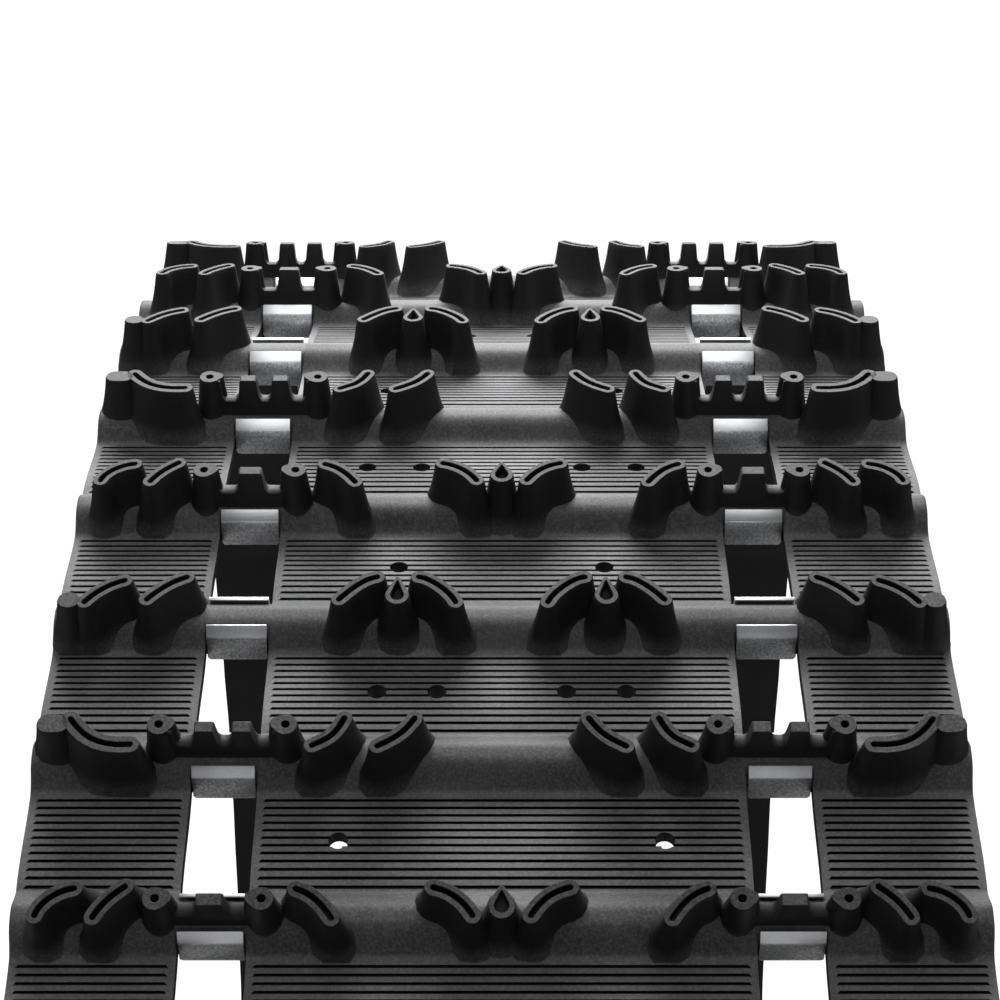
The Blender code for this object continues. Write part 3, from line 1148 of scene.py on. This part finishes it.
def rubber_material():
    """Moulded rubber: black on the lugs' sides and in the grooves, where shade is painted, and greyer on the
    other faces with dust and painted light, lightest on the flats.
    """
    recipe = Recipe("moulded_rubber")
    place = recipe.add("ShaderNodeTexCoord", None, None, "Object")
    outward = recipe.add("ShaderNodeAttribute", {"attribute_name": "outward"}, None, "Fac")
    tone = recipe.add("ShaderNodeAttribute", {"attribute_name": "tone"}, None, "Fac")
    clouds = recipe.noise(place, 34.0, 5.0, 0.6)
    speckle = recipe.noise(place, 800.0, 4.0, 0.7)
    grain = recipe.noise(place, 2600.0, 2.0, 0.6)
    tips = recipe.between(outward, tip_height() - 0.25, tip_height() - 0.05)
    # Painted shade: the lugs' sides above their roots get almost none of the pale tone and stay near black.
    sides = tone * (1.0 - tips) * recipe.between(outward, 3.0, 13.0)
    crest = recipe.between(outward, 8.5, 10.6) * (1.0 - tone)
    # The pale tone starts just under the flats' top, so the grooves and all below stay black; in the grooves
    # this black is painted shade.
    faces = recipe.between(outward, 2.6, 2.95) * (1.0 - sides)
    # Painted light: the flats are painted lighter, as if lit from overhead.
    flats = 1.0 - recipe.between(outward, 3.1, 4.2)
    patches = recipe.between(clouds, 0.35, 0.7)
    dust = recipe.between(speckle, 0.4, 0.75)
    # Pale share on the faces: random patches and dust, plus painted light, a grey on every face, a little
    # less on the tips and more on the flats.
    dust_and_painted_light = 0.11 + patches * 0.1 + dust * 0.24 - tips * 0.08 + flats * 0.17
    share = faces * dust_and_painted_light + sides * dust * 0.03
    recipe.feed(
        Base_Color=recipe.colours(share, tuple(finish().rubber), tuple(finish().bloom_and_painted_light)),
        Roughness=0.62 + clouds * 0.14 + dust * 0.08 - crest * 0.05 - sides * 0.06,
        Normal=recipe.bump(grain * 0.5 + speckle * 0.5, 0.5, 0.0004),
    )
    recipe.shader.inputs["Specular IOR Level"].default_value = 0.32
    return recipe.material


def steel_material():
    """Stamped zinc-plated steel: dull and speckled, with its crimped lip painted bright as a painted
    reflection and the sheet below it painted darker as painted shade.
    """
    recipe = Recipe("clip_steel_sheet")
    place = recipe.add("ShaderNodeTexCoord", None, None, "Object")
    outward = recipe.add("ShaderNodeAttribute", {"attribute_name": "outward"}, None, "Fac")
    mottle = recipe.noise(place, 900.0, 5.0, 0.75)
    stain = recipe.noise(place, 90.0, 3.0, 0.5)
    drawn = recipe.add("ShaderNodeMapping", None, {"Vector": place, "Scale": (40.0, 1500.0, 1500.0)})
    lines = recipe.noise(drawn, 1.0, 2.0, 0.5)
    # Painted reflection: the crimped lip at the top is painted bright and less mottled.
    lip = recipe.between(outward, 6.6, 8.4)
    dull = recipe.between(mottle, 0.32, 0.66) * (1.0 - lip * 0.8)
    # Painted shade: the sheet below the lip is painted darker; mottle and stains add to it.
    mottle_stain_and_painted_shade = 0.45 * (1.0 - lip) + dull * 0.5 + recipe.between(stain, 0.5, 0.8) * 0.1
    steel = tuple(finish().steel)
    dark = tuple(value * 0.27 for value in steel)
    recipe.feed(
        Base_Color=recipe.colours(mottle_stain_and_painted_shade, steel, dark),
        Roughness=0.3 + dull * 0.22 + lines * 0.06,
        Normal=recipe.bump(mottle * 0.7 + lines * 0.3, 0.35, 0.00012),
    )
    recipe.shader.inputs["Metallic"].default_value = 1.0
    return recipe.material


def rod_material():
    """Drawn glass fibre and resin, with its strands along the rod."""
    recipe = Recipe("glass_fibre")
    place = recipe.add("ShaderNodeTexCoord", None, None, "Object")
    drawn = recipe.add("ShaderNodeMapping", None, {"Vector": place, "Scale": (30.0, 2400.0, 2400.0)})
    strands = recipe.noise(drawn, 1.0, 3.0, 0.6)
    rod = tuple(finish().rod)
    dark = tuple(value * 0.5 for value in rod)
    recipe.feed(
        Base_Color=recipe.colours(recipe.between(strands, 0.35, 0.65), rod, dark),
        Roughness=0.45 + strands * 0.2,
        Normal=recipe.bump(strands, 0.3, 0.0001),
    )
    return recipe.material


def shared_material(maker, name):
    return bpy.data.materials.get(name) or maker()


# Operators.


class TRACK_OT_bars(bpy.types.Operator):
    """Moulded bars with their lugs, combs and drive lugs, one piece for each body"""

    bl_idname = "track.bars"
    bl_label = "Bars and lugs"

    def execute(self, context):
        frames = link_frames()
        masters = [bar_master(kind) for kind in KINDS]
        tree = copies_tree("bars_along_loop", len(masters))
        rubber = shared_material(rubber_material, "moulded_rubber")
        for body, links in bodies().items():
            made = copied(f"bars_{body}", tree, masters, rubber, frames, links, lambda k: k % len(KINDS))
            settle(made, body, "track_rubber", f"belt_section_{body}")
        for master in masters:
            bpy.data.objects.remove(master, do_unlink=True)
        return {"FINISHED"}


class TRACK_OT_flats(bpy.types.Operator):
    """Ribbed flats between the bars. One that crosses a hinge bends with it"""

    bl_idname = "track.flats"
    bl_label = "Flats"

    def execute(self, context):
        frames = link_frames()
        rubber = shared_material(rubber_material, "moulded_rubber")
        joined = {frozenset((joint["parent"], joint["child"])) for joint in frame["joints"]}
        rigid = {}
        for zone in range(LINKS):
            before, after = body_of_link((zone - 1) % LINKS), body_of_link(zone)
            length = flat_length(frames, zone)
            if before == after:
                rigid.setdefault(before, []).append((zone, 0.0, length))
            elif frozenset((before, after)) in joined:
                self.hinge_flat(frames, zone, before, after, rubber)
            else:
                half = length / 2
                rigid.setdefault(before, []).append((zone, 0.0, half - OPEN_PIVOT_HALF_GAP))
                rigid.setdefault(after, []).append((zone, half + OPEN_PIVOT_HALF_GAP, length))
        for body, spans in rigid.items():
            made = new_object(f"flats_{body}", flat_mesh(f"flats_{body}", frames, spans))
            made.data.materials.append(rubber)
            settle(made, body, "track_rubber")
        return {"FINISHED"}

    def hinge_flat(self, frames, zone, before, after, rubber):
        length = flat_length(frames, zone)
        name = f"hinge_flat_{before}_{after}"
        made = new_object(name, flat_mesh(name, frames, [(zone, 0.0, length)]))
        made.data.materials.append(rubber)
        settle(made, None, "track_rubber")
        foot = sizes().half_bar
        start = frames[zone - 1] @ Vector((0.0, foot, 0.0))
        end = frames[zone] @ Vector((0.0, -foot, 0.0))
        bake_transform(made, before, after, start, end)


class TRACK_OT_clips(bpy.types.Operator):
    """Steel clips over the bars in both window columns, one piece for each body"""

    bl_idname = "track.clips"
    bl_label = "Clips"

    def execute(self, context):
        frames = link_frames()
        master = clip_master()
        tree = copies_tree("clips_along_loop", 1)
        steel = shared_material(steel_material, "clip_steel_sheet")
        for body, links in bodies().items():
            made = copied(f"clips_{body}", tree, [master], steel, frames, links, lambda k: 0)
            settle(made, body, "clip_steel", *[rod_node(link) for link in links])
        bpy.data.objects.remove(master, do_unlink=True)
        return {"FINISHED"}


class TRACK_OT_rods(bpy.types.Operator):
    """Cross rods, one piece for each body"""

    bl_idname = "track.rods"
    bl_label = "Cross rods"

    def execute(self, context):
        frames = link_frames()
        master = rod_master()
        tree = copies_tree("rods_along_loop", 1)
        fibre = shared_material(rod_material, "glass_fibre")
        for body, links in bodies().items():
            made = copied(f"rods_{body}", tree, [master], fibre, frames, links, lambda k: 0)
            settle(made, body, "clip_steel")
        bpy.data.objects.remove(master, do_unlink=True)
        return {"FINISHED"}


class TRACK_OT_stage(bpy.types.Operator):
    """Pale floor and backdrop, soft light from overhead and in front, and the camera"""

    bl_idname = "track.stage"
    bl_label = "Stage"

    def execute(self, context):
        context.scene.view_settings.view_transform = "Standard"
        self.cove()
        self.lamps()
        self.world(context)
        self.camera(context)
        return {"FINISHED"}

    def cove(self):
        """A floor that curves up into a wall far behind."""
        profile = [(COVE_FRONT, 0.0), (COVE_BACK, 0.0)]
        for step in range(1, 13):
            angle = math.radians(90.0 * step / 12)
            rise = COVE_CURVE * (1 - math.cos(angle))
            profile.append((COVE_BACK + COVE_CURVE * math.sin(angle), rise))
        profile.append((COVE_BACK + COVE_CURVE, COVE_HEIGHT))
        points = [(x, y, z) for x in (-COVE_HALF_WIDTH, COVE_HALF_WIDTH) for y, z in profile]
        count = len(profile)
        faces = [(i, count + i, count + i + 1, i + 1) for i in range(count - 1)]
        data = bpy.data.meshes.new("cove")
        data.from_pydata(points, [], faces)
        data.shade_smooth()
        data.materials.append(self.paper())
        return new_object("cove", data)

    def paper(self):
        """Matt paper, lit up where the camera sees it, and on the wall more than on the floor."""
        recipe = Recipe("cove_paper")
        shade = tuple(stage_look().floor)
        recipe.feed(Base_Color=(*shade, 1.0), Roughness=0.9)
        seen = recipe.add("ShaderNodeLightPath", None, None, "Is Camera Ray")
        place = recipe.add("ShaderNodeTexCoord", None, None, "Object")
        height = recipe.add("ShaderNodeSeparateXYZ", None, {"Vector": place}, "Z")
        wall = recipe.between(height, 0.02, 0.4)
        lit = seen * (COVE_FLOOR_SHARE + (1.0 - COVE_FLOOR_SHARE) * wall)
        glow = recipe.add("ShaderNodeEmission", None, {"Strength": COVE_GLOW})
        paper = Wire(recipe, recipe.shader.outputs[0])
        blend = recipe.add("ShaderNodeMixShader", None, {0: lit, 1: paper, 2: glow})
        output = recipe.tree.nodes["Material Output"]
        recipe.put(output.inputs["Surface"], blend)
        return recipe.material

    def lamps(self):
        for name, place, aim, size, share in LAMPS:
            data = bpy.data.lights.new(name, "AREA")
            data.shape = "RECTANGLE"
            data.size, data.size_y = size
            data.energy = stage_look().overhead * share
            lamp = new_object(name, data)
            lamp.location = place
            lamp.rotation_euler = (Vector(aim) - Vector(place)).to_track_quat("-Z", "Y").to_euler()

    def world(self, context):
        """White to the camera, dim to everything else."""
        world = bpy.data.worlds.new("studio")
        context.scene.world = world
        world.use_nodes = True
        tree = world.node_tree
        background = tree.nodes["Background"]
        background.inputs["Color"].default_value = (1.0, 1.0, 1.0, 1.0)
        path = tree.nodes.new("ShaderNodeLightPath")
        strength = tree.nodes.new("ShaderNodeMapRange")
        strength.inputs["To Min"].default_value = WORLD_LIGHT
        strength.inputs["To Max"].default_value = 1.0
        tree.links.new(path.outputs["Is Camera Ray"], strength.inputs["Value"])
        tree.links.new(strength.outputs["Result"], background.inputs["Strength"])

    def camera(self, context):
        """In front of the loop, below its top, tilted up a little."""
        top = link_frames()[LINKS // 2 - 1].translation
        data = bpy.data.cameras.new("camera")
        data.lens = stage_look().lens
        data.sensor_width = 36.0
        data.clip_start = 0.05
        made = new_object("camera", data)
        made.location = top + Vector(CAMERA_FROM_TOP)
        made.rotation_euler = [math.radians(turn) for turn in CAMERA_TURN]
        context.scene.camera = made


class TRACK_PT_panel(bpy.types.Panel):
    """Buttons for each group of pieces"""

    bl_idname = "TRACK_PT_panel"
    bl_label = "Rubber Drive Track"
    bl_space_type = "VIEW_3D"
    bl_region_type = "UI"
    bl_category = "Track"

    def draw(self, context):
        for group in (context.scene.track_sizes, context.scene.track_finish, context.scene.track_stage):
            for name in group.__annotations__:
                self.layout.prop(group, name)
        for operator in OPERATORS:
            self.layout.operator(operator.bl_idname)


GROUPS = (TrackSizes, TrackFinish, StageLook)
OPERATORS = (TRACK_OT_bars, TRACK_OT_flats, TRACK_OT_clips, TRACK_OT_rods, TRACK_OT_stage)
CLASSES = (*GROUPS, *OPERATORS, TRACK_PT_panel)


def register():
    for made in CLASSES:
        bpy.utils.register_class(made)
    bpy.types.Scene.track_sizes = PointerProperty(type=TrackSizes)
    bpy.types.Scene.track_finish = PointerProperty(type=TrackFinish)
    bpy.types.Scene.track_stage = PointerProperty(type=StageLook)


def unregister():
    del bpy.types.Scene.track_sizes, bpy.types.Scene.track_finish, bpy.types.Scene.track_stage
    for made in reversed(CLASSES):
        bpy.utils.unregister_class(made)


def main():
    clear_startup_scene()
    register()
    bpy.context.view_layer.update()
    bpy.ops.track.bars()
    bpy.ops.track.flats()
    bpy.ops.track.clips()
    bpy.ops.track.rods()
    bpy.ops.track.stage()


if __name__ == "__main__":
    main()
